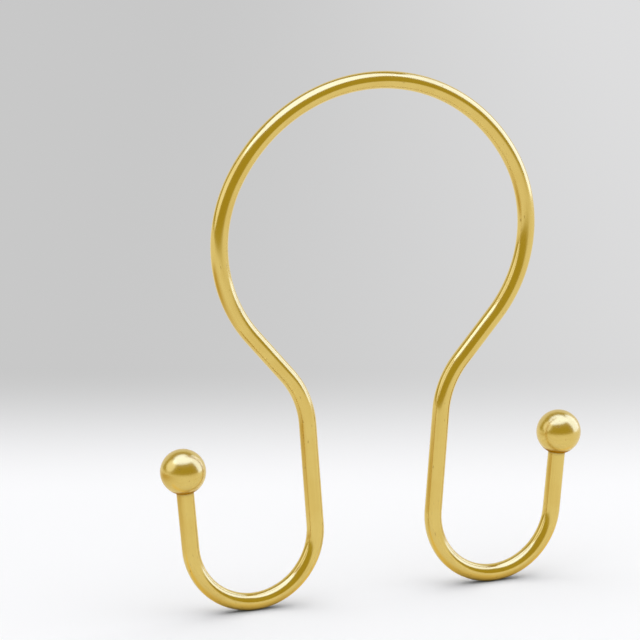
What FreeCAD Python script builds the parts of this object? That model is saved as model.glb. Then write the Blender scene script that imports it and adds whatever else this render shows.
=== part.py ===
import FreeCAD, Part

import math
import os

# A shower curtain hook bent from one round wire, in millimetres.
#
# The wire lies flat in the XZ plane and is the same on both sides of the YZ plane. From the middle
# outwards each half is a big loop that hangs over the rod, a slanted run that closes in towards the
# neck, a bend the other way, an inner leg, a U bend and an outer leg with a ball on its end.
# Both U bends open outwards, away from each other: one takes the curtain, the other its liner.
#
# The origin is the rod's seat, the highest point inside the loop. +Z is up and the rod runs along Y.
# Every bend is given as on a wire bender, by its inside radius, which is the radius of the pin that
# the wire is bent round.

# Wire
wire_diameter = 2.7
wire_end_chamfer = 0.35

# Loop over the rod: a wide arc on top runs into a tighter arc on each side
loop_top_inside_radius = 25.0
loop_top_half_angle = 60.0
loop_side_inside_radius = 20.0

# Slanted run between the loop and the neck, its angle measured from the vertical
slant_angle = 41.2
slant_length = 8.8

# Neck, where the slant turns down into the inner leg
neck_inside_radius = 12.3
inner_leg_lean = 4.4
inner_leg_length = 15.9

# U bend and the outer leg, which leans out as it rises; its length ends at the ball's centre
hook_inside_radius = 9.0
outer_leg_lean = 5.3
outer_leg_length = 12.3

# Ball, drilled blind to take the end of the wire
ball_diameter = 7.0
ball_hole_depth = 4.4
ball_hole_tip_angle = 118.0
ball_hole_mouth_chamfer = 0.12
wire_to_hole_clearance = 0.02
wire_end_clearance = 0.1

# Worked out from the sizes above
wire_radius = wire_diameter / 2
ball_radius = ball_diameter / 2
ball_hole_radius = wire_radius + wire_to_hole_clearance
wire_past_ball_centre = ball_hole_depth - ball_radius - wire_end_clearance

FULL_TURN = 360.0
HALF_TURN = 180.0
QUARTER_TURN = 90.0
Y_AXIS = FreeCAD.Vector(0, 1, 0)


def direction(heading):
    """Unit vector in the XZ plane, with its heading in degrees from +X towards +Z."""
    angle = math.radians(heading)
    return FreeCAD.Vector(math.cos(angle), 0, math.sin(angle))


class WirePath:
    """A flat centreline that is laid out from one end by straight runs and bends."""

    def __init__(self, start, heading):
        self.end = start
        self.heading = heading
        self.edges = []

    def straight(self, length):
        """Adds a straight run."""
        finish = self.end + direction(self.heading) * length
        self.edges.append(Part.makeLine(self.end, finish))
        self.end = finish

    def bend(self, inside_radius, turn):
        """Adds an arc that turns the heading; a positive turn is from +X towards +Z."""
        radius = inside_radius + wire_radius
        side = math.copysign(QUARTER_TURN, turn)
        centre = self.end + direction(self.heading + side) * radius
        middle = centre + direction(self.heading - side + turn / 2) * radius
        finish = centre + direction(self.heading - side + turn) * radius
        self.edges.append(Part.Arc(self.end, middle, finish).toShape())
        self.end = finish
        self.heading += turn


def right_half():
    """Centreline from the middle of the loop's top to the right end of the wire."""
    slant_heading = -QUARTER_TURN - slant_angle
    inner_leg_heading = -QUARTER_TURN - inner_leg_lean
    outer_leg_heading = QUARTER_TURN - outer_leg_lean
    path = WirePath(FreeCAD.Vector(0, 0, wire_radius), 0)
    path.bend(loop_top_inside_radius, -loop_top_half_angle)
    path.bend(loop_side_inside_radius, slant_heading - path.heading)
    path.straight(slant_length)
    path.bend(neck_inside_radius, inner_leg_heading - path.heading)
    path.straight(inner_leg_length)
    path.bend(hook_inside_radius, outer_leg_heading - path.heading)
    path.straight(outer_leg_length + wire_past_ball_centre)
    return path


def bent_wire(half):
    """Round wire swept along both halves of the centreline, with its two ends chamfered."""
    mirrored = [edge.mirror(FreeCAD.Vector(), FreeCAD.Vector(1, 0, 0)) for edge in half.edges]
    centreline = Part.Wire(Part.__sortEdges__(mirrored + half.edges))
    section = Part.Wire(Part.makeCircle(wire_radius, half.end, direction(half.heading)))
    solid = centreline.makePipeShell([section], True, False)
    ends = [face for face in solid.Faces if face.Surface.TypeId == "Part::GeomPlane"]
    end_edges = [face.Edges[0] for face in ends]
    return solid.makeChamfer(wire_end_chamfer, end_edges)


def drilled_ball(centre, heading):
    """Ball revolved about the outer leg's line, with a blind drilled hole from below."""
    mouth_radius = ball_hole_radius + ball_hole_mouth_chamfer
    mouth_height = -math.sqrt(ball_radius ** 2 - mouth_radius ** 2)
    hole_top = ball_hole_depth - ball_radius
    tip_height = hole_top + ball_hole_radius / math.tan(math.radians(ball_hole_tip_angle / 2))
    outline = [
        FreeCAD.Vector(mouth_radius, 0, mouth_height),
        FreeCAD.Vector(ball_hole_radius, 0, mouth_height + ball_hole_mouth_chamfer),
        FreeCAD.Vector(ball_hole_radius, 0, hole_top),
        FreeCAD.Vector(0, 0, tip_height),
        FreeCAD.Vector(0, 0, ball_radius),
    ]
    edges = [Part.makeLine(a, b) for a, b in zip(outline, outline[1:])]
    widest = FreeCAD.Vector(ball_radius, 0, 0)
    edges.append(Part.Arc(outline[-1], widest, outline[0]).toShape())
    profile = Part.Face(Part.Wire(edges))
    ball = profile.revolve(FreeCAD.Vector(), FreeCAD.Vector(0, 0, 1), FULL_TURN)
    ball.rotate(FreeCAD.Vector(), Y_AXIS, QUARTER_TURN - heading)
    ball.translate(centre)
    return ball


def build():
    """Returns the solid of each node by its name."""
    half = right_half()
    leg_heading = half.heading
    ball_centre = half.end - direction(leg_heading) * wire_past_ball_centre
    opposite_centre = FreeCAD.Vector(-ball_centre.x, ball_centre.y, ball_centre.z)
    return {
        "bent_wire": bent_wire(half),
        "left_end_ball": drilled_ball(opposite_centre, HALF_TURN - leg_heading),
        "right_end_ball": drilled_ball(ball_centre, leg_heading),
    }


os.makedirs("parts", exist_ok=True)
for node, shape in build().items():
    shape.exportStep(f"parts/{node}.step")
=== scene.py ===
import logging
import math
from abc import ABC, abstractmethod
from dataclasses import dataclass
from enum import Enum

import bpy
import numpy as np
from mathutils import Matrix, Vector


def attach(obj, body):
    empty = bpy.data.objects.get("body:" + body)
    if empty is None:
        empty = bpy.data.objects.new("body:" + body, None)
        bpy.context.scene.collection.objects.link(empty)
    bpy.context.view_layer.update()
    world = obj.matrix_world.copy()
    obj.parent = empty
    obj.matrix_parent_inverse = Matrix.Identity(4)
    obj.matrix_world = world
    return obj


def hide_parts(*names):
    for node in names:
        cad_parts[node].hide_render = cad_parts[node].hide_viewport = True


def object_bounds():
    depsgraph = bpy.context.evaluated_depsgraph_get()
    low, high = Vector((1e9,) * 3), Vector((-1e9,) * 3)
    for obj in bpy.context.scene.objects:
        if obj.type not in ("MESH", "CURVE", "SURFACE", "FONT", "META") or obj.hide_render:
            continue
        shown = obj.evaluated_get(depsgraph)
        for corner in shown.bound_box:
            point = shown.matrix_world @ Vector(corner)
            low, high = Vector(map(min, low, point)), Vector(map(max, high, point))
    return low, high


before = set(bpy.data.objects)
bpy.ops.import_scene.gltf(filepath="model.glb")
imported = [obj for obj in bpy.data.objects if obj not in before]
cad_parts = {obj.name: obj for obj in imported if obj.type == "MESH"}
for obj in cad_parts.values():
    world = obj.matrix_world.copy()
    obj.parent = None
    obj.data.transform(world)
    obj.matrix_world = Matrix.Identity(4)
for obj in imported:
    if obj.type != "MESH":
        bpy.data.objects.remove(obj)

# A gold shower curtain hook: one round wire bent flat into a loop, a neck and outward U hooks, with a
# drilled ball on each end. All sizes are in metres and angles in degrees. +Z is up, the wire lies in
# the XZ plane, and the origin is the highest point inside the loop, where the hook hangs on its rod.

CAD_LOW, CAD_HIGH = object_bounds()
IMAGE_WIDTH = 640
QUARTER_TURN = 90.0
Y_AXIS = np.array([0.0, 1.0, 0.0])

# Attributes of the gold pieces, which the gold materials read by these names
STRAIGHT_PLACE = "straight_place"
# Mask of the painted shade, and on the balls a painted reflection of the wire, where wire and ball meet
SEAM_SHADE_ATTRIBUTE = "crevice"

# A noise texture gives this on average
NOISE_AVERAGE = 0.5

Colour = tuple[float, float, float]
Scale = tuple[float, float, float]
Span = tuple[float, float]
Socket = bpy.types.NodeSocket

# What a node's input takes: a socket to link, or a value to set
Feed = Socket | float | Colour | Scale | Vector

# Tones that the floor and the room share
BACKGROUND_GREY: Colour = (0.578, 0.578, 0.578)
ROOM_GOLD: Colour = (0.50, 0.425, 0.075)

log = logging.getLogger("shower_curtain_hook")


class LampUse(Enum):
    """What a lamp does: it lights the floor, or it only shows in the gold."""

    FLOOR = "floor"
    SHINE = "shine"


class LampShape(Enum):
    """Outline of a softbox; the value is pi times its area for a width and height of 1."""

    RECTANGLE = math.pi
    ELLIPSE = math.pi ** 2 / 4


class Side(Enum):
    """Which end of the wire a ball sits on; the value is the sign of X there."""

    LEFT = -1
    RIGHT = 1


class SocketKind(Enum):
    """Kind of a node group's socket; the value is the name that Blender has for it."""

    NUMBER = "NodeSocketFloat"
    COLOUR = "NodeSocketColor"
    VECTOR = "NodeSocketVector"


def direction(heading: np.ndarray) -> np.ndarray:
    """Unit vectors in the XZ plane.

    Args:
        heading: angles in radians from +X towards +Z.

    Returns:
        An array with one more axis, of length 3: (cos, 0, sin).
    """
    return np.stack([np.cos(heading), np.zeros_like(heading), np.sin(heading)], axis=-1)


def outward(azimuth: float, elevation: float) -> Vector:
    """Unit vector from the hook towards a camera or a lamp.

    It is (sin a cos e, -cos a cos e, sin e), so azimuth 0 is on the -Y side and 90 is on +X.

    Args:
        azimuth: the angle a round Z, in degrees.
        elevation: the angle e above the floor, in degrees.

    Returns:
        The vector.
    """
    around, up = math.radians(azimuth), math.radians(elevation)
    return Vector((math.sin(around) * math.cos(up), -math.cos(around) * math.cos(up), math.sin(up)))


def face(holder: bpy.types.Object, target: Vector, back: Vector, distance: float, roll: float) -> None:
    """Stands a camera or a lamp at a distance from a point and turns it towards the point.

    Args:
        holder: the camera's or the lamp's object, which looks along its own -Z.
        target: the point.
        back: unit vector from the point to the object.
        distance: how far apart the two are.
        roll: turn about the line between them, in degrees.
    """
    turn = back.to_track_quat("Z", "Y").to_matrix() @ Matrix.Rotation(math.radians(roll), 3, "Z")
    holder.location = target + back * distance
    holder.rotation_mode = "QUATERNION"
    holder.rotation_quaternion = turn.to_quaternion()


def closed_grid(name: str, rings: np.ndarray, start: np.ndarray, end: np.ndarray) -> bpy.types.Mesh:
    """Closed tube of quads, with a fan of triangles to a pole at each end.

    Point (i, j) of the grid joins (i, j + 1) round the ring, wrapping at the last column, and
    (i + 1, j) along the tube. The first and last rings join the two poles. Faces point out where the
    points of a ring follow each other left-handed about the way from the first ring to the last.

    Args:
        name: name of the mesh.
        rings: points as an array of ring by place round the ring by XYZ.
        start: the pole before the first ring.
        end: the pole after the last ring.

    Returns:
        The mesh, smooth shaded, with its vertices in the order rings, start pole, end pole.
    """
    ring_count, around = rings.shape[:2]
    index = np.arange(ring_count * around).reshape(ring_count, around)
    beside = np.roll(index, -1, axis=1)
    quads = np.stack([index[:-1], index[1:], beside[1:], beside[:-1]], axis=-1).reshape(-1, 4)
    first_pole = np.full(around, ring_count * around)
    last_pole = first_pole + 1
    start_fan = np.stack([first_pole, index[0], beside[0]], axis=-1)
    end_fan = np.stack([last_pole, beside[-1], index[-1]], axis=-1)
    points = np.vstack([rings.reshape(-1, 3), start, end])
    mesh = bpy.data.meshes.new(name)
    mesh.from_pydata(points.tolist(), [], quads.tolist() + start_fan.tolist() + end_fan.tolist())
    mesh.polygons.foreach_set("use_smooth", np.ones(len(mesh.polygons), bool))
    mesh.update()
    return mesh


def add_vector_attribute(mesh: bpy.types.Mesh, name: str, values: np.ndarray) -> None:
    """Stores one vector a vertex, which a material reads by name."""
    layer = mesh.attributes.new(name, "FLOAT_VECTOR", "POINT")
    layer.data.foreach_set("vector", np.ascontiguousarray(values, np.float32).ravel())


def add_number_attribute(mesh: bpy.types.Mesh, name: str, values: np.ndarray) -> None:
    """Stores one number a vertex, which a material reads by name."""
    layer = mesh.attributes.new(name, "FLOAT", "POINT")
    layer.data.foreach_set("value", np.ascontiguousarray(values, np.float32))


def add_object(name: str, data: bpy.types.ID) -> bpy.types.Object:
    """Adds an object at the origin of the scene.

    Args:
        name: name of the object.
        data: the mesh, lamp or camera that it holds.

    Returns:
        The object.
    """
    holder = bpy.data.objects.new(name, data)
    bpy.context.scene.collection.objects.link(holder)
    return holder


def add_flat(name: str, corners: list[Vector], material: bpy.types.Material) -> bpy.types.Object:
    """Adds a flat piece of the stage, which isn't part of the hook.

    Args:
        name: name of the piece.
        corners: its four corners, one after the other round it.
        material: its material.

    Returns:
        The piece.
    """
    mesh = bpy.data.meshes.new(name)
    mesh.from_pydata([tuple(corner) for corner in corners], [], [(0, 1, 2, 3)])
    mesh.materials.append(material)
    piece = add_object(name, mesh)
    log.info("%s placed", name)
    return piece


@dataclass(frozen=True)
class WireForm:
    """The bends and straight runs of one half of the wire, from the middle of the loop outwards.

    Every bend is given by its inside radius, and the track's step is how finely the centreline is
    summed up.
    """

    wire_diameter: float = 0.0027
    loop_top_inside_radius: float = 0.025
    loop_top_half_angle: float = 60.0
    loop_side_inside_radius: float = 0.020
    slant_angle: float = 41.2
    slant_length: float = 0.0088
    neck_inside_radius: float = 0.0123
    inner_leg_lean: float = 4.4
    inner_leg_length: float = 0.0159
    hook_inside_radius: float = 0.009
    outer_leg_lean: float = 5.3
    outer_leg_length: float = 0.0123
    track_step: float = 0.00001

    @property
    def wire_radius(self) -> float:
        """Half of the wire's diameter."""
        return self.wire_diameter / 2

    def knots(self, past_ball_centre: float) -> tuple[np.ndarray, np.ndarray]:
        """Places along the centreline where a bend or a straight run ends, and the headings there.

        A bend is as long as its centreline radius times its turn. The heading changes evenly along a
        bend and not at all along a straight run.

        Args:
            past_ball_centre: how far the wire runs on past the ball's centre.

        Returns:
            Distances from the middle of the loop's top, and headings in radians.
        """
        slant_heading = -QUARTER_TURN - self.slant_angle
        inner_heading = -QUARTER_TURN - self.inner_leg_lean
        outer_heading = QUARTER_TURN - self.outer_leg_lean
        headings = np.radians([
            0, -self.loop_top_half_angle, slant_heading, slant_heading,
            inner_heading, inner_heading, outer_heading, outer_heading,
        ])
        turns = np.abs(np.diff(headings))
        inside_radii = np.array([
            self.loop_top_inside_radius, self.loop_side_inside_radius, 0,
            self.neck_inside_radius, 0, self.hook_inside_radius, 0,
        ])
        straights = np.array([
            0, 0, self.slant_length, 0, self.inner_leg_length, 0,
            self.outer_leg_length + past_ball_centre,
        ])
        lengths = straights + turns * (inside_radii + self.wire_radius)
        return np.concatenate([[0], np.cumsum(lengths)]), headings

    def centreline(self, places: np.ndarray, past_ball_centre: float) -> tuple[np.ndarray, np.ndarray]:
        """Points and headings of the wire's centreline.

        The heading is linear in distance between the knots. The point is the start plus the sum of
        short steps, each along the heading in its middle. The left half is the right one with X
        turned round and its heading reversed.

        Args:
            places: distances along the wire from the middle of the loop's top, less than 0 on the left.
            past_ball_centre: how far the wire runs on past the ball's centre.

        Returns:
            Points as XYZ rows, and headings in radians for travel from left to right.
        """
        knots, headings = self.knots(past_ball_centre)
        fine = np.linspace(0, knots[-1], math.ceil(knots[-1] / self.track_step) + 1)
        middles = (fine[1:] + fine[:-1]) / 2
        steps = direction(np.interp(middles, knots, headings)) * np.diff(fine)[:, None]
        track = np.vstack([[0, 0, 0], np.cumsum(steps, axis=0)]) + [0, 0, self.wire_radius]
        reach = np.abs(places)
        x = np.interp(reach, fine, track[:, 0]) * np.sign(places)
        z = np.interp(reach, fine, track[:, 2])
        heading = np.interp(reach, knots, headings) * np.where(places < 0, -1, 1)
        return np.stack([x, np.zeros_like(x), z], axis=-1), heading

    def ball_centre(self, side: Side) -> Vector:
        """Centre of the ball on one end of the wire.

        Args:
            side: the end that it sits on.

        Returns:
            The point where the centreline of that outer leg ends.
        """
        knots, _ = self.knots(0)
        points, _ = self.centreline(np.array([side.value * knots[-1]]), 0)
        return Vector(points[0])


@dataclass(frozen=True)
class BallForm:
    """Sizes of the drilled ball."""

    diameter: float = 0.007
    hole_depth: float = 0.0044
    hole_tip_angle: float = 118.0
    mouth_chamfer: float = 0.00012
    wire_to_hole_clearance: float = 0.00002
    wire_end_clearance: float = 0.0001

    @property
    def radius(self) -> float:
        """Half of the ball's diameter."""
        return self.diameter / 2

    @property
    def wire_past_centre(self) -> float:
        """How far the wire's end lies past the ball's centre."""
        return self.hole_depth - self.radius - self.wire_end_clearance


class NodeTree:
    """Short calls to place and join shader nodes in one tree."""

    def __init__(self, tree: bpy.types.NodeTree) -> None:
        """Takes over a tree and clears its nodes.

        Args:
            tree: the tree of a material, a world or a group.
        """
        self.tree = tree
        self.tree.nodes.clear()

    def add(self, kind: str, **settings: object) -> bpy.types.Node:
        """Adds a node.

        Args:
            kind: the node's type name.
            **settings: properties of the node by name.

        Returns:
            The new node.
        """
        node = self.tree.nodes.new(kind)
        for name, value in settings.items():
            setattr(node, name, value)
        return node

    def feed(self, target: Socket, value: Feed) -> None:
        """Links a socket to an input, or sets a number, a vector or an RGB colour on it.

        Args:
            target: the input.
            value: the socket to link, or what the input is set to.
        """
        if isinstance(value, Socket):
            self.tree.links.new(value, target)
        elif target.type == "RGBA":
            target.default_value = (*value, 1.0)
        else:
            target.default_value = value

    def math(self, operation: str, *values: Feed) -> Socket:
        """Adds a Math node.

        Args:
            operation: the node's operation.
            *values: a number or a socket for each input.

        Returns:
            The node's output.
        """
        node = self.add("ShaderNodeMath", operation=operation)
        for target, value in zip(node.inputs, values):
            self.feed(target, value)
        return node.outputs[0]

    def mix(self, factor: Feed, first: Feed, second: Feed) -> Socket:
        """Adds a colour Mix node.

        Args:
            factor: a number or a socket, 0 for the first colour and 1 for the second.
            first: an RGB colour or a socket.
            second: an RGB colour or a socket.

        Returns:
            The mixed colour.
        """
        node = self.add("ShaderNodeMix", data_type="RGBA")
        targets = {target.identifier: target for target in node.inputs}
        self.feed(targets["Factor_Float"], factor)
        self.feed(targets["A_Color"], first)
        self.feed(targets["B_Color"], second)
        return next(output for output in node.outputs if output.identifier == "Result_Color")

    def noise(self, place: Socket, scale: float, detail: float) -> Socket:
        """Adds a Noise Texture.

        Args:
            place: where the noise is read.
            scale: how many of its waves fit in one unit of the place.
            detail: how many finer layers are added.

        Returns:
            The noise as a number, which is NOISE_AVERAGE on average.
        """
        node = self.add("ShaderNodeTexNoise")
        self.feed(node.inputs["Vector"], place)
        self.feed(node.inputs["Scale"], scale)
        self.feed(node.inputs["Detail"], detail)
        return node.outputs["Fac"]

    def stretch(self, place: Socket, scale: Scale) -> Socket:
        """Adds a Mapping node that scales a place along each axis.

        Args:
            place: the place to scale.
            scale: a factor for each of X, Y and Z.

        Returns:
            The scaled place.
        """
        node = self.add("ShaderNodeMapping")
        self.feed(node.inputs["Vector"], place)
        self.feed(node.inputs["Scale"], scale)
        return node.outputs["Vector"]

    def along(self, place: Socket, axis: Vector) -> Socket:
        """Measures a place along an axis, as their dot product.

        Args:
            place: the place to measure.
            axis: a vector of length 1.

        Returns:
            The distance from the origin along the axis.
        """
        node = self.add("ShaderNodeVectorMath", operation="DOT_PRODUCT")
        self.feed(node.inputs[0], place)
        self.feed(node.inputs[1], axis)
        return node.outputs["Value"]

    def between(self, value: Socket, low: float, high: float) -> Socket:
        """Adds a smooth step.

        Args:
            value: the number that it follows.
            low: where the step is 0, and below.
            high: where the step is 1, and above.

        Returns:
            A number from 0 to 1.
        """
        node = self.add("ShaderNodeMapRange", interpolation_type="SMOOTHSTEP")
        self.feed(node.inputs["Value"], value)
        self.feed(node.inputs["From Min"], low)
        self.feed(node.inputs["From Max"], high)
        return node.outputs["Result"]

    def show(self, shader: Socket, output: str = "ShaderNodeOutputMaterial") -> None:
        """Ends the tree in an output node that shows the shader."""
        self.feed(self.add(output).inputs["Surface"], shader)


def new_material(name: str) -> tuple[bpy.types.Material, NodeTree]:
    """Makes a material.

    Args:
        name: name of the material.

    Returns:
        The material, and its empty tree.
    """
    material = bpy.data.materials.new(name)
    material.use_nodes = True
    return material, NodeTree(material.node_tree)


def new_group(
    name: str, inputs: dict[str, SocketKind], outputs: dict[str, SocketKind],
) -> tuple[NodeTree, dict[str, Socket], dict[str, Socket]]:
    """Makes a shader node group with named sockets.

    Args:
        name: name of the group.
        inputs: kind of socket by input name.
        outputs: kind of socket by output name.

    Returns:
        The group's tree, the sockets that bring the inputs in, and the sockets that take the outputs.
    """
    group = bpy.data.node_groups.new(name, "ShaderNodeTree")
    for socket_name, kind in inputs.items():
        group.interface.new_socket(socket_name, in_out="INPUT", socket_type=kind.value)
    for socket_name, kind in outputs.items():
        group.interface.new_socket(socket_name, in_out="OUTPUT", socket_type=kind.value)
    tree = NodeTree(group)
    entry = tree.add("NodeGroupInput")
    leave = tree.add("NodeGroupOutput")
    given = {socket_name: entry.outputs[socket_name] for socket_name in inputs}
    out = {socket_name: leave.inputs[socket_name] for socket_name in outputs}
    return tree, given, out


@dataclass(frozen=True)
class PlatingAndSeamShade:
    """The colour of gold plating, with the painted shade at the seam, as a node group that both golds use.
    """

    drift_scale: float = 260.0
    drift_detail: float = 2.0
    drift_limits: Span = (0.35, 0.7)
    line_share: float = 1.2
    pit_share: float = 0.4

    def group(self) -> bpy.types.NodeTree:
        """Builds the group.

        The tone goes from Gold to Deep Gold by a share. The share is a slow noise, stepped smoothly
        from 0 to 1 between the drift limits, times Drift, plus the line share times what Lines is above
        the average of noise. Pits darken the tone part of the way to the dark seam colour. That colour
        takes over at the seam, where its Mask input is 1: it is painted shade there, and on the balls
        also a painted reflection of the wire.

        Returns:
            The group, with inputs Place, Gold, Deep Gold, Crevice, Crevice Mask, Lines, Pits and
            Drift, and output Color.
        """
        number, colour = SocketKind.NUMBER, SocketKind.COLOUR
        inputs = {
            "Place": SocketKind.VECTOR, "Gold": colour, "Deep Gold": colour, "Crevice": colour,
            "Crevice Mask": number, "Lines": number, "Pits": number, "Drift": number,
        }
        tree, given, out = new_group("gold_plating", inputs, {"Color": colour})
        slow = tree.noise(given["Place"], self.drift_scale, self.drift_detail)
        drifted = tree.math("MULTIPLY", tree.between(slow, *self.drift_limits), given["Drift"])
        above = tree.math("SUBTRACT", given["Lines"], NOISE_AVERAGE)
        share = tree.math("ADD", drifted, tree.math("MULTIPLY", above, self.line_share))
        tone = tree.mix(share, given["Gold"], given["Deep Gold"])
        pitted = tree.mix(tree.math("MULTIPLY", given["Pits"], self.pit_share), tone, given["Crevice"])
        # The dark seam colour, which is painted shade, takes over at the seam
        tree.feed(out["Color"], tree.mix(given["Crevice Mask"], pitted, given["Crevice"]))
        return tree.tree


@dataclass(frozen=True)
class MetalPolish:
    """The fine surface of drawn and polished metal, as a node group that both golds use."""

    line_detail: float = 3.0
    pit_detail: float = 1.0
    pit_limits: Span = (0.71, 0.79)
    pit_depth: float = 0.8
    least_roughness: float = 0.02

    def group(self) -> bpy.types.NodeTree:
        """Builds the group.

        Lines are noise at a place that is stretched along their direction. Pits are small and sparse,
        where another noise rises over a limit. Height is the lines less the pits times their depth.
        Roughness is a base value plus a share of the lines, measured from the average of noise, and a
        share of the pits.

        Returns:
            The group, with inputs Line Place, Pit Place, Roughness, Line Roughness and Pit Roughness,
            and outputs Height, Roughness, Lines and Pits.
        """
        number, vector = SocketKind.NUMBER, SocketKind.VECTOR
        inputs = {
            "Line Place": vector, "Pit Place": vector, "Roughness": number,
            "Line Roughness": number, "Pit Roughness": number,
        }
        outputs = {"Height": number, "Roughness": number, "Lines": number, "Pits": number}
        tree, given, out = new_group("metal_polish", inputs, outputs)
        lines = tree.noise(given["Line Place"], 1.0, self.line_detail)
        pits = tree.between(tree.noise(given["Pit Place"], 1.0, self.pit_detail), *self.pit_limits)
        above = tree.math("SUBTRACT", lines, NOISE_AVERAGE)
        line_part = tree.math("MULTIPLY", above, given["Line Roughness"])
        pit_part = tree.math("MULTIPLY", pits, given["Pit Roughness"])
        rough = tree.math("ADD", given["Roughness"], tree.math("ADD", line_part, pit_part))
        tree.feed(out["Height"], tree.math("SUBTRACT", lines, tree.math("MULTIPLY", pits, self.pit_depth)))
        tree.feed(out["Roughness"], tree.math("MAXIMUM", rough, self.least_roughness))
        tree.feed(out["Lines"], lines)
        tree.feed(out["Pits"], pits)
        return tree.tree


@dataclass(frozen=True)
class GoldFinish:
    """One gold finish: its colours, how rough it is, and its fine lines and pits.

    Lines and pits are finer along an axis where their scale is larger.
    """

    name: str
    gold: Colour
    deep_gold: Colour
    # Dark seam colour: painted shade where wire and ball meet, and on the ball also a painted reflection
    # of the wire. Pits darken part of the way to it.
    crevice: Colour
    drift: float
    roughness: float
    line_roughness: float
    pit_roughness: float
    line_scale: Scale
    pit_scale: Scale
    bump_depth: float
    bump_strength: float

    def material(self, plating: bpy.types.NodeTree, polish: bpy.types.NodeTree) -> bpy.types.Material:
        """Builds the material from the two node groups.

        It is metal everywhere but in the seam, which is matt and dark with painted shade, and on the ball
        also a painted reflection of the wire.

        Args:
            plating: the group that gives the colour, with the painted seam shade.
            polish: the group that gives height and roughness.

        Returns:
            A material that reads the attributes STRAIGHT_PLACE and SEAM_SHADE_ATTRIBUTE of its piece.
        """
        material, tree = new_material(self.name)
        place = tree.add("ShaderNodeAttribute", attribute_name=STRAIGHT_PLACE).outputs["Vector"]
        seam_shade_mask = tree.add("ShaderNodeAttribute", attribute_name=SEAM_SHADE_ATTRIBUTE).outputs["Fac"]
        surface = tree.add("ShaderNodeGroup", node_tree=polish)
        tree.feed(surface.inputs["Line Place"], tree.stretch(place, self.line_scale))
        tree.feed(surface.inputs["Pit Place"], tree.stretch(place, self.pit_scale))
        tree.feed(surface.inputs["Roughness"], self.roughness)
        tree.feed(surface.inputs["Line Roughness"], self.line_roughness)
        tree.feed(surface.inputs["Pit Roughness"], self.pit_roughness)
        colour = tree.add("ShaderNodeGroup", node_tree=plating)
        tree.feed(colour.inputs["Place"], place)
        tree.feed(colour.inputs["Gold"], self.gold)
        tree.feed(colour.inputs["Deep Gold"], self.deep_gold)
        tree.feed(colour.inputs["Crevice"], self.crevice)
        tree.feed(colour.inputs["Crevice Mask"], seam_shade_mask)
        tree.feed(colour.inputs["Lines"], surface.outputs["Lines"])
        tree.feed(colour.inputs["Pits"], surface.outputs["Pits"])
        tree.feed(colour.inputs["Drift"], self.drift)
        bump = tree.add("ShaderNodeBump")
        tree.feed(bump.inputs["Strength"], self.bump_strength)
        tree.feed(bump.inputs["Distance"], self.bump_depth)
        tree.feed(bump.inputs["Height"], surface.outputs["Height"])
        shader = tree.add("ShaderNodeBsdfPrincipled")
        tree.feed(shader.inputs["Base Color"], colour.outputs["Color"])
        # The seam is matt, with the painted shade as its colour.
        tree.feed(shader.inputs["Metallic"], tree.math("SUBTRACT", 1.0, seam_shade_mask))
        tree.feed(shader.inputs["Roughness"], surface.outputs["Roughness"])
        tree.feed(shader.inputs["Normal"], bump.outputs["Normal"])
        tree.feed(shader.inputs["Specular IOR Level"], 0.0)
        tree.show(shader.outputs["BSDF"])
        return material


# The seam colours paint shade, and on the ball also a reflection of the wire.
SATIN_WIRE = GoldFinish(
    name="satin_gold_wire", gold=(0.74, 0.55, 0.16), deep_gold=(0.71, 0.51, 0.135),
    crevice=(0.20, 0.10, 0.015), drift=0.7, roughness=0.17, line_roughness=0.10, pit_roughness=0.12,
    line_scale=(3600.0, 3600.0, 70.0), pit_scale=(3000.0, 3000.0, 900.0), bump_depth=0.000004,
    bump_strength=0.5,
)
POLISHED_BALL = GoldFinish(
    name="polished_gold_ball", gold=(0.74, 0.55, 0.16), deep_gold=(0.71, 0.51, 0.135),
    crevice=(0.41, 0.17, 0.0), drift=0.6, roughness=0.25, line_roughness=0.06, pit_roughness=0.10,
    line_scale=(500.0, 500.0, 2600.0), pit_scale=(1900.0, 1900.0, 1900.0), bump_depth=0.000003,
    bump_strength=0.4,
)


@dataclass(frozen=True)
class GoldPiece(ABC):
    """A piece of the hook, which replaces one solid and is worked out from the forms of both kinds."""

    form: WireForm
    ball: BallForm

    @property
    @abstractmethod
    def node(self) -> str:
        """Name of the solid that the piece replaces."""

    @property
    @abstractmethod
    def slot(self) -> str:
        """Name of the piece's material slot."""

    @property
    def name(self) -> str:
        """Name of the piece."""
        return f"{self.node}_skin"

    @abstractmethod
    def build(self) -> bpy.types.Object:
        """Builds the piece's mesh in its place and returns its object."""

    def dress(self, piece: bpy.types.Object, material: bpy.types.Material) -> None:
        """Gives the piece its material and body, and hides the solid that it replaces.

        Args:
            piece: the object that build gave.
            material: its gold.
        """
        piece.data.materials.append(material)
        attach(piece, "root")
        self.slot
        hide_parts(self.node)


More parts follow.
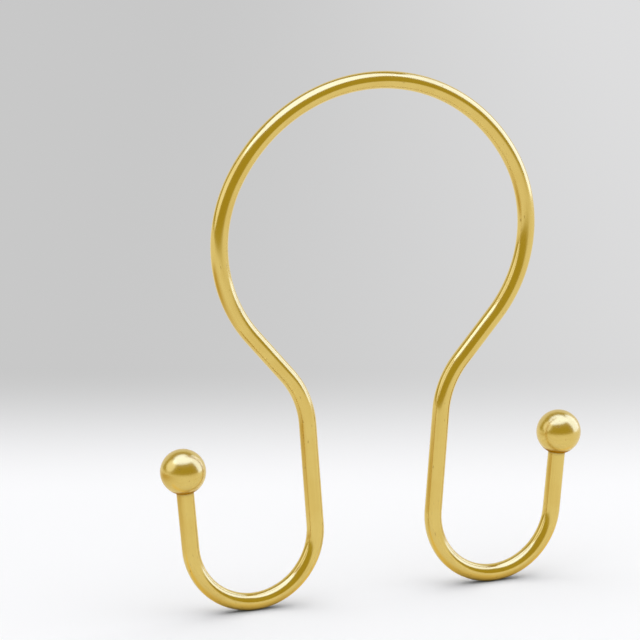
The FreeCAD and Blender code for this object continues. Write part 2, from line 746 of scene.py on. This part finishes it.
@dataclass(frozen=True)
class BentWire(GoldPiece):
    """The bent wire: a round section carried along the centreline."""

    around: int = 48
    ring_spacing: float = 0.00035
    end_chamfer: float = 0.00035
    # How far the painted shade reaches down the wire from the ball's mouth
    seam_shade_reach: float = 0.00012

    @property
    def node(self) -> str:
        """Name of the wire's solid."""
        return "bent_wire"

    @property
    def slot(self) -> str:
        """Name of the wire's material slot."""
        return "gold_wire"

    def build(self) -> bpy.types.Object:
        """Builds the wire's mesh.

        Point (i, j) is the centreline at place i plus the section's radius times cos(angle j) along
        the in-plane normal plus sin(angle j) along Y. The radius drops by the chamfer at both ends.
        The straight place is the same point on a straight wire along Z.

        Returns:
            The wire's object.
        """
        past = self.ball.wire_past_centre
        half_length = self.form.knots(past)[0][-1]
        count = math.ceil(2 * half_length / self.ring_spacing)
        body = np.linspace(-half_length + self.end_chamfer, half_length - self.end_chamfer, count)
        places = np.concatenate([[-half_length], body, [half_length]])
        radii = np.full(len(places), self.form.wire_radius)
        radii[[0, -1]] -= self.end_chamfer
        points, heading = self.form.centreline(places, past)
        normal = direction(heading + math.radians(QUARTER_TURN))
        angle = np.arange(self.around) * math.tau / self.around
        section = np.stack([np.cos(angle), np.sin(angle)], axis=-1)
        spokes = section[:, :1] * normal[:, None] + section[:, 1:] * Y_AXIS
        rings = points[:, None] + radii[:, None, None] * spokes
        mesh = closed_grid(self.name, rings, points[0], points[-1])
        round_place = radii[:, None, None] * section[None]
        along = np.broadcast_to(places[:, None, None], (*round_place.shape[:2], 1))
        skin = np.concatenate([round_place, along], axis=-1).reshape(-1, 3)
        straight = np.vstack([skin, [0, 0, places[0]], [0, 0, places[-1]]])
        add_vector_attribute(mesh, STRAIGHT_PLACE, straight)
        # Painted shade where the wire enters the ball
        add_number_attribute(mesh, SEAM_SHADE_ATTRIBUTE, self.crevice(straight[:, 2]))
        return add_object(self.name, mesh)

    def crevice(self, places: np.ndarray) -> np.ndarray:
        """Mask of the painted shade, a dark line where the wire enters the ball.

        It is 1 inside the hole and falls off as exp(-distance / reach) below the mouth.

        Args:
            places: distances along the wire from the middle of the loop's top.

        Returns:
            A number from 0 to 1 for each place.
        """
        mouth_radius = self.form.wire_radius + self.ball.mouth_chamfer
        mouth = self.form.knots(0)[0][-1] - math.sqrt(self.ball.radius ** 2 - mouth_radius ** 2)
        below = np.clip(mouth - np.abs(places), 0, None)
        return np.exp(-below / self.seam_shade_reach)


@dataclass(frozen=True)
class EndBall(GoldPiece):
    """A drilled ball on one end of the wire: a profile turned about the outer leg's line."""

    side: Side
    around: int = 96
    sphere_rows: int = 72
    lip_rows: int = 4
    wall_rows: int = 8
    # Distances from the hole's axis where the painted shade and reflection round the seam starts to fade
    # and where it is gone
    seam_shade_inner: float = 0.0020
    seam_shade_outer: float = 0.0026

    @property
    def node(self) -> str:
        """Name of the ball's solid."""
        return f"{self.side.name.lower()}_end_ball"

    @property
    def slot(self) -> str:
        """Name of the balls' material slot."""
        return "gold_ball"

    @property
    def hole_radius(self) -> float:
        """Radius of the drilled hole."""
        return self.form.wire_radius + self.ball.wire_to_hole_clearance

    def profile(self) -> np.ndarray:
        """Radius and height of the turned profile, from inside the hole out and up to the top.

        The hole's wall runs down from where the drill's tip starts to two lip widths above the mouth.
        The lip is the curve (1 - t)^2 start + 2 t (1 - t) corner + t^2 end, which starts one lip width
        above the mouth and has its corner a third of one above it. The sphere is radius R sin(angle)
        at height -R cos(angle), with the angle from the mouth to the top.

        Returns:
            Rows of radius and height above the ball's centre.
        """
        lip = self.ball.mouth_chamfer
        mouth_radius = self.hole_radius + lip
        mouth_angle = math.asin(mouth_radius / self.ball.radius)
        mouth_height = -self.ball.radius * math.cos(mouth_angle)
        tip_start = self.ball.hole_depth - self.ball.radius
        wall_heights = np.linspace(tip_start, mouth_height + 2 * lip, self.wall_rows)
        wall = np.stack([np.full(self.wall_rows, self.hole_radius), wall_heights], axis=-1)
        start = [self.hole_radius, mouth_height + lip]
        corner = [self.hole_radius, mouth_height + lip / 3]
        end = [mouth_radius, mouth_height]
        t = np.linspace(0, 1, self.lip_rows + 2)[1:-1]
        weights = np.stack([(1 - t) ** 2, 2 * t * (1 - t), t ** 2], axis=-1)
        angles = np.linspace(mouth_angle, math.pi, self.sphere_rows + 1)[:-1]
        sphere = self.ball.radius * np.stack([np.sin(angles), -np.cos(angles)], axis=-1)
        return np.vstack([wall, weights @ np.array([start, corner, end]), sphere])

    def build(self) -> bpy.types.Object:
        """Builds the ball's mesh.

        Point (i, j) is the profile's row i turned by angle j about the ball's own axis, which is then
        leaned as far as the outer leg and moved to the ball's centre.

        Returns:
            The ball's object.
        """
        profile = self.profile()
        radius, height = profile[:, :1], profile[:, 1:]
        angle = -np.arange(self.around) * math.tau / self.around
        x, y = radius * np.cos(angle), radius * np.sin(angle)
        rings = np.stack([x, y, np.broadcast_to(height, x.shape)], axis=-1)
        tip = profile[0, 1] + self.hole_radius / math.tan(math.radians(self.ball.hole_tip_angle / 2))
        start, end = np.array([0, 0, tip]), np.array([0, 0, self.ball.radius])
        mesh = closed_grid(self.name, rings, start, end)
        upright = np.vstack([rings.reshape(-1, 3), start, end])
        add_vector_attribute(mesh, STRAIGHT_PLACE, upright)
        # Painted shade and painted reflection of the wire on the ball round the seam
        add_number_attribute(mesh, SEAM_SHADE_ATTRIBUTE, self.crevice(upright))
        lean = Matrix.Rotation(math.radians(self.side.value * self.form.outer_leg_lean), 4, "Y")
        mesh.transform(Matrix.Translation(self.form.ball_centre(self.side)) @ lean)
        return add_object(self.name, mesh)

    def crevice(self, upright: np.ndarray) -> np.ndarray:
        """Mask of the painted shade and painted reflection of the wire round the seam.

        It is 1 out to the inner distance from the hole's axis, and falls to 0 at the outer one as
        1 - 3 u^2 + 2 u^3, where u runs from 0 to 1 between them. It reaches half the radius above the
        centre, which takes in the whole hole, and is 0 from there to the top.

        Args:
            upright: points about the ball's centre with the ball's own axis as Z.

        Returns:
            A number from 0 to 1 for each point.
        """
        out = np.hypot(upright[:, 0], upright[:, 1]) - self.seam_shade_inner
        u = np.clip(out / (self.seam_shade_outer - self.seam_shade_inner), 0, 1)
        return np.where(upright[:, 2] < self.ball.radius / 2, 1 - 3 * u ** 2 + 2 * u ** 3, 0)


@dataclass(frozen=True)
class PhotoCamera:
    """The camera of the photograph: where it stands, what it is aimed at, and its lens.

    The focal length is in pixels of the image, and the sensor's width in millimetres.
    """

    azimuth: float = -23.61
    elevation: float = 12.11
    distance: float = 0.5897
    roll: float = -0.04
    aim: tuple[float, float, float] = (-0.01066, -0.00335, -0.03419)
    focal_pixels: float = 3897.6
    sensor_width: float = 36.0
    clip: Span = (0.01, 20.0)

    @property
    def backwards(self) -> Vector:
        """Unit vector over the floor, away from the camera."""
        return -outward(self.azimuth, 0.0)

    @property
    def rightwards(self) -> Vector:
        """Unit vector over the floor, to the image's right."""
        return outward(self.azimuth + QUARTER_TURN, 0.0)

    def place(self) -> None:
        """Adds the camera and makes it the scene's.

        The lens in millimetres is the sensor's width times the focal length over the image's width,
        both in pixels.
        """
        data = bpy.data.cameras.new("camera")
        data.sensor_width = self.sensor_width
        data.lens = self.sensor_width * self.focal_pixels / IMAGE_WIDTH
        data.clip_start, data.clip_end = self.clip
        camera = add_object("camera", data)
        back = outward(self.azimuth, self.elevation)
        face(camera, Vector(self.aim), back, self.distance, self.roll)
        bpy.context.scene.camera = camera
        log.info("camera placed")


@dataclass(frozen=True)
class PaleFloor:
    """The flat floor under the hook.

    Depth is measured over the floor away from the camera, and across to the image's right, both from
    the origin. A span gives the two distances between which one tone turns into another.

    The camera sees a white, lit floor, which turns over the grey span into the plain background. That
    is grey and lightens to the right over the light span. The gold mirrors the lit floor out to the
    near span, with painted golden bounce light from the gold beside the wire. Beyond that it mirrors an
    even white, apart from a dim golden patch to the left, and the room's gold from the front span on.
    """

    half_size: float = 3.0
    white: Colour = (0.918, 0.922, 0.942)
    grey_span: Span = (0.06, 0.16)
    light: Colour = (0.73, 0.73, 0.735)
    light_span: Span = (-0.06, 0.10)
    mirrored_white: Colour = (0.95, 0.95, 0.95)
    patch: Colour = (0.64, 0.50, 0.18)
    patch_near_span: Span = (0.03, 0.11)
    patch_far_span: Span = (0.14, 0.21)
    patch_depth_span: Span = (0.0, 0.12)
    front_span: Span = (0.20, 0.36)
    near_span: Span = (0.045, 0.063)
    near_stretch: Scale = (1.0, 3.0, 0.0)
    # Painted bounce light from the gold on the floor beside the wire, which only the gold mirrors, and the
    # span on each side over which it fades
    painted_gold_bounce: Colour = (0.98, 0.82, 0.42)
    painted_gold_bounce_span: Span = (0.0, 0.006)
    cast: Colour = (0.04, 0.05, 0.06)

    def build(self, camera: PhotoCamera) -> None:
        """Adds the floor at the foot of the hook.

        Args:
            camera: the camera that its tones are laid out for.
        """
        half, level = self.half_size, CAD_LOW.z
        signs = ((-1, -1), (1, -1), (1, 1), (-1, 1))
        corners = [Vector((x * half, y * half, level)) for x, y in signs]
        add_flat("floor", corners, self.material(camera))

    def material(self, camera: PhotoCamera) -> bpy.types.Material:
        """Builds the floor's material: matt and lit, or a plain tone that shines by itself.

        The plain tone takes over for the camera over the grey span, and for the gold over the near
        span. Light that the gold casts back on the floor has left a matt surface before. It only picks
        up the dim cast tone, so that shadows stay grey.

        Args:
            camera: the camera that depth and across are measured from.

        Returns:
            The material.
        """
        material, tree = new_material("pale_floor")
        place = tree.add("ShaderNodeTexCoord").outputs["Object"]
        rays = tree.add("ShaderNodeLightPath").outputs
        depth = tree.along(place, camera.backwards)
        across = tree.along(place, camera.rightwards)
        lit = tree.add("ShaderNodeBsdfDiffuse")
        # Painted golden bounce light: as the gold sees it, the floor beside the wire is tinted
        painted_gold_bounce = tree.math("MULTIPLY", self.beside_wire(tree, place), rays["Is Glossy Ray"])
        tree.feed(lit.inputs["Color"], tree.mix(painted_gold_bounce, self.white, self.painted_gold_bounce))
        background = tree.mix(tree.between(across, *self.light_span), BACKGROUND_GREY, self.light)
        shown = tree.mix(rays["Is Camera Ray"], self.mirrored(tree, depth, across), background)
        cast_back = tree.math("MINIMUM", rays["Diffuse Depth"], 1.0)
        plain = tree.add("ShaderNodeEmission")
        tree.feed(plain.inputs["Color"], tree.mix(cast_back, shown, self.cast))
        plain_seen = tree.math("MULTIPLY", tree.between(depth, *self.grey_span), rays["Is Camera Ray"])
        beyond = tree.math("MAXIMUM", self.beyond_reach(tree, place), cast_back)
        plain_mirrored = tree.math("MULTIPLY", rays["Is Glossy Ray"], beyond)
        blend = tree.add("ShaderNodeMixShader")
        tree.feed(blend.inputs[0], tree.math("ADD", plain_seen, plain_mirrored))
        tree.feed(blend.inputs[1], lit.outputs["BSDF"])
        tree.feed(blend.inputs[2], plain.outputs["Emission"])
        tree.show(blend.outputs["Shader"])
        return material

    def mirrored(self, tree: NodeTree, depth: Socket, across: Socket) -> Socket:
        """Tone of the floor beyond the near span, as the gold mirrors it.

        Args:
            tree: the floor's tree.
            depth: distance away from the camera.
            across: distance to the image's right.

        Returns:
            The colour.
        """
        left = tree.math("MULTIPLY", across, -1.0)
        near, far = tree.between(left, *self.patch_near_span), tree.between(left, *self.patch_far_span)
        away = tree.between(tree.math("ABSOLUTE", depth), *self.patch_depth_span)
        patch = tree.math("MULTIPLY", tree.math("SUBTRACT", near, far), tree.math("SUBTRACT", 1.0, away))
        front = tree.between(tree.math("MULTIPLY", depth, -1.0), *self.front_span)
        return tree.mix(front, tree.mix(patch, self.mirrored_white, self.patch), ROOM_GOLD)

    def beside_wire(self, tree: NodeTree, place: Socket) -> Socket:
        """Mask of the painted bounce light: 1 in the wire's plane, falling to 0 over its span on both
        sides.

        Args:
            tree: the floor's tree.
            place: the place on the floor.

        Returns:
            A number from 0 to 1.
        """
        aside = tree.math("ABSOLUTE", tree.along(place, Vector(Y_AXIS)))
        return tree.math("SUBTRACT", 1.0, tree.between(aside, *self.painted_gold_bounce_span))

    def beyond_reach(self, tree: NodeTree, place: Socket) -> Socket:
        """Mask that rises from 0 to 1 over the near span, measured in an oval along the wire.

        Args:
            tree: the floor's tree.
            place: the place on the floor.

        Returns:
            A number from 0 to 1.
        """
        reach = tree.add("ShaderNodeVectorMath", operation="LENGTH")
        tree.feed(reach.inputs[0], tree.stretch(place, self.near_stretch))
        return tree.between(reach.outputs["Value"], *self.near_span)


@dataclass(frozen=True)
class PaleWall:
    """The pale wall that stands behind the hook and shows in its reflections."""

    tone: Colour = (0.85, 0.85, 0.85)
    distance: float = 0.9
    half_width: float = 1.4
    height: float = 1.0

    def build(self, camera: PhotoCamera) -> None:
        """Adds the wall, which stands on the floor, square to the camera's view over it.

        Args:
            camera: the camera that it faces.
        """
        foot = Vector((0, 0, CAD_LOW.z)) + camera.backwards * self.distance
        half, top = camera.rightwards * self.half_width, Vector((0, 0, self.height))
        material, tree = new_material("pale_wall")
        plain = tree.add("ShaderNodeEmission")
        tree.feed(plain.inputs["Color"], self.tone)
        tree.show(plain.outputs["Emission"])
        wall = add_flat("wall", [foot - half, foot + half, foot + half + top, foot - half + top], material)
        wall.visible_diffuse = False


@dataclass(frozen=True)
class Room:
    """The room: plain grey for the camera, gold in reflections, and a soft neutral fill."""

    fill: Colour = (0.19, 0.20, 0.225)

    def build(self) -> None:
        """Adds the world.

        The gold tone is only for reflections that the camera sees, where the glossy ray's 1 is more
        than the number of matt surfaces that the path has left.
        """
        world = bpy.data.worlds.new("room")
        bpy.context.scene.world = world
        world.use_nodes = True
        tree = NodeTree(world.node_tree)
        rays = tree.add("ShaderNodeLightPath").outputs
        mirrored = tree.math("GREATER_THAN", rays["Is Glossy Ray"], rays["Diffuse Depth"])
        lit = tree.mix(mirrored, self.fill, ROOM_GOLD)
        background = tree.add("ShaderNodeBackground")
        tree.feed(background.inputs["Color"], tree.mix(rays["Is Camera Ray"], lit, BACKGROUND_GREY))
        tree.show(background.outputs["Background"], "ShaderNodeOutputWorld")


@dataclass(frozen=True)
class Softbox:
    """A soft lamp that faces the hook. Unless told otherwise it is bluish and only shows in the gold."""

    name: str
    azimuth: float
    elevation: float
    width: float
    height: float
    radiance: float
    distance: float = 0.8
    roll: float = 0.0
    shape: LampShape = LampShape.ELLIPSE
    colour: Colour = (0.22, 0.33, 1.0)
    use: LampUse = LampUse.SHINE

    def place(self, centre: Vector) -> None:
        """Adds the lamp, which the camera doesn't see.

        Its power is pi times its area times its radiance, and the shape's own value is pi times its
        area for a width and height of 1.

        Args:
            centre: the point that it faces.
        """
        lamp = bpy.data.lights.new(self.name, "AREA")
        lamp.shape = self.shape.name
        lamp.size = self.width
        lamp.size_y = self.height
        lamp.energy = self.shape.value * self.width * self.height * self.radiance
        lamp.color = self.colour
        holder = add_object(self.name, lamp)
        face(holder, centre, outward(self.azimuth, self.elevation), self.distance, self.roll)
        holder.visible_camera = False
        holder.visible_diffuse = self.use is LampUse.FLOOR
        holder.visible_glossy = self.use is LampUse.SHINE
        log.info("%s placed", self.name)


@dataclass(frozen=True)
class Studio:
    """Camera, floor, wall, room and lamps.

    One lamp lights the floor, and three only show in the gold. Those are bluish, because gold takes
    most of the blue: their highlights come out a pale cream.
    """

    camera: PhotoCamera = PhotoCamera()
    floor: PaleFloor = PaleFloor()
    wall: PaleWall = PaleWall()
    room: Room = Room()
    softboxes: tuple[Softbox, ...] = (
        Softbox("floor_softbox", azimuth=60.0, elevation=85.0, width=2.60, height=2.40, radiance=1.31,
                colour=(1.0, 0.985, 0.95), use=LampUse.FLOOR),
        Softbox("overhead_shine", azimuth=-40.5, elevation=79.5, width=1.38, height=0.90, radiance=4.2,
                roll=26.0),
        Softbox("right_shine", azimuth=83.4, elevation=27.0, width=0.76, height=0.90, radiance=3.9,
                shape=LampShape.RECTANGLE),
        Softbox("left_shine", azimuth=-98.0, elevation=27.0, width=0.72, height=0.80, radiance=1.4,
                roll=-30.0, colour=(0.45, 0.545, 1.0)),
    )

    def build(self) -> None:
        """Adds all of it and sets the plain view transform."""
        bpy.context.scene.view_settings.view_transform = "Standard"
        self.camera.place()
        self.floor.build(self.camera)
        self.wall.build(self.camera)
        self.room.build()
        middle = (CAD_LOW + CAD_HIGH) / 2
        for softbox in self.softboxes:
            softbox.place(middle)


def main() -> None:
    """Builds the hook and the studio, and reports each piece."""
    logging.basicConfig(level=logging.INFO, format="%(name)s: %(message)s")
    form, ball = WireForm(), BallForm()
    plating, polish = PlatingAndSeamShade().group(), MetalPolish().group()
    wire_gold = SATIN_WIRE.material(plating, polish)
    ball_gold = POLISHED_BALL.material(plating, polish)
    parts = [(BentWire(form, ball), wire_gold)]
    parts += [(EndBall(form, ball, side), ball_gold) for side in Side]
    for part, gold in parts:
        piece = part.build()
        part.dress(piece, gold)
        log.info("%s replaces %s and has %d faces", piece.name, part.node, len(piece.data.polygons))
    Studio().build()


if __name__ == "__main__":
    main()
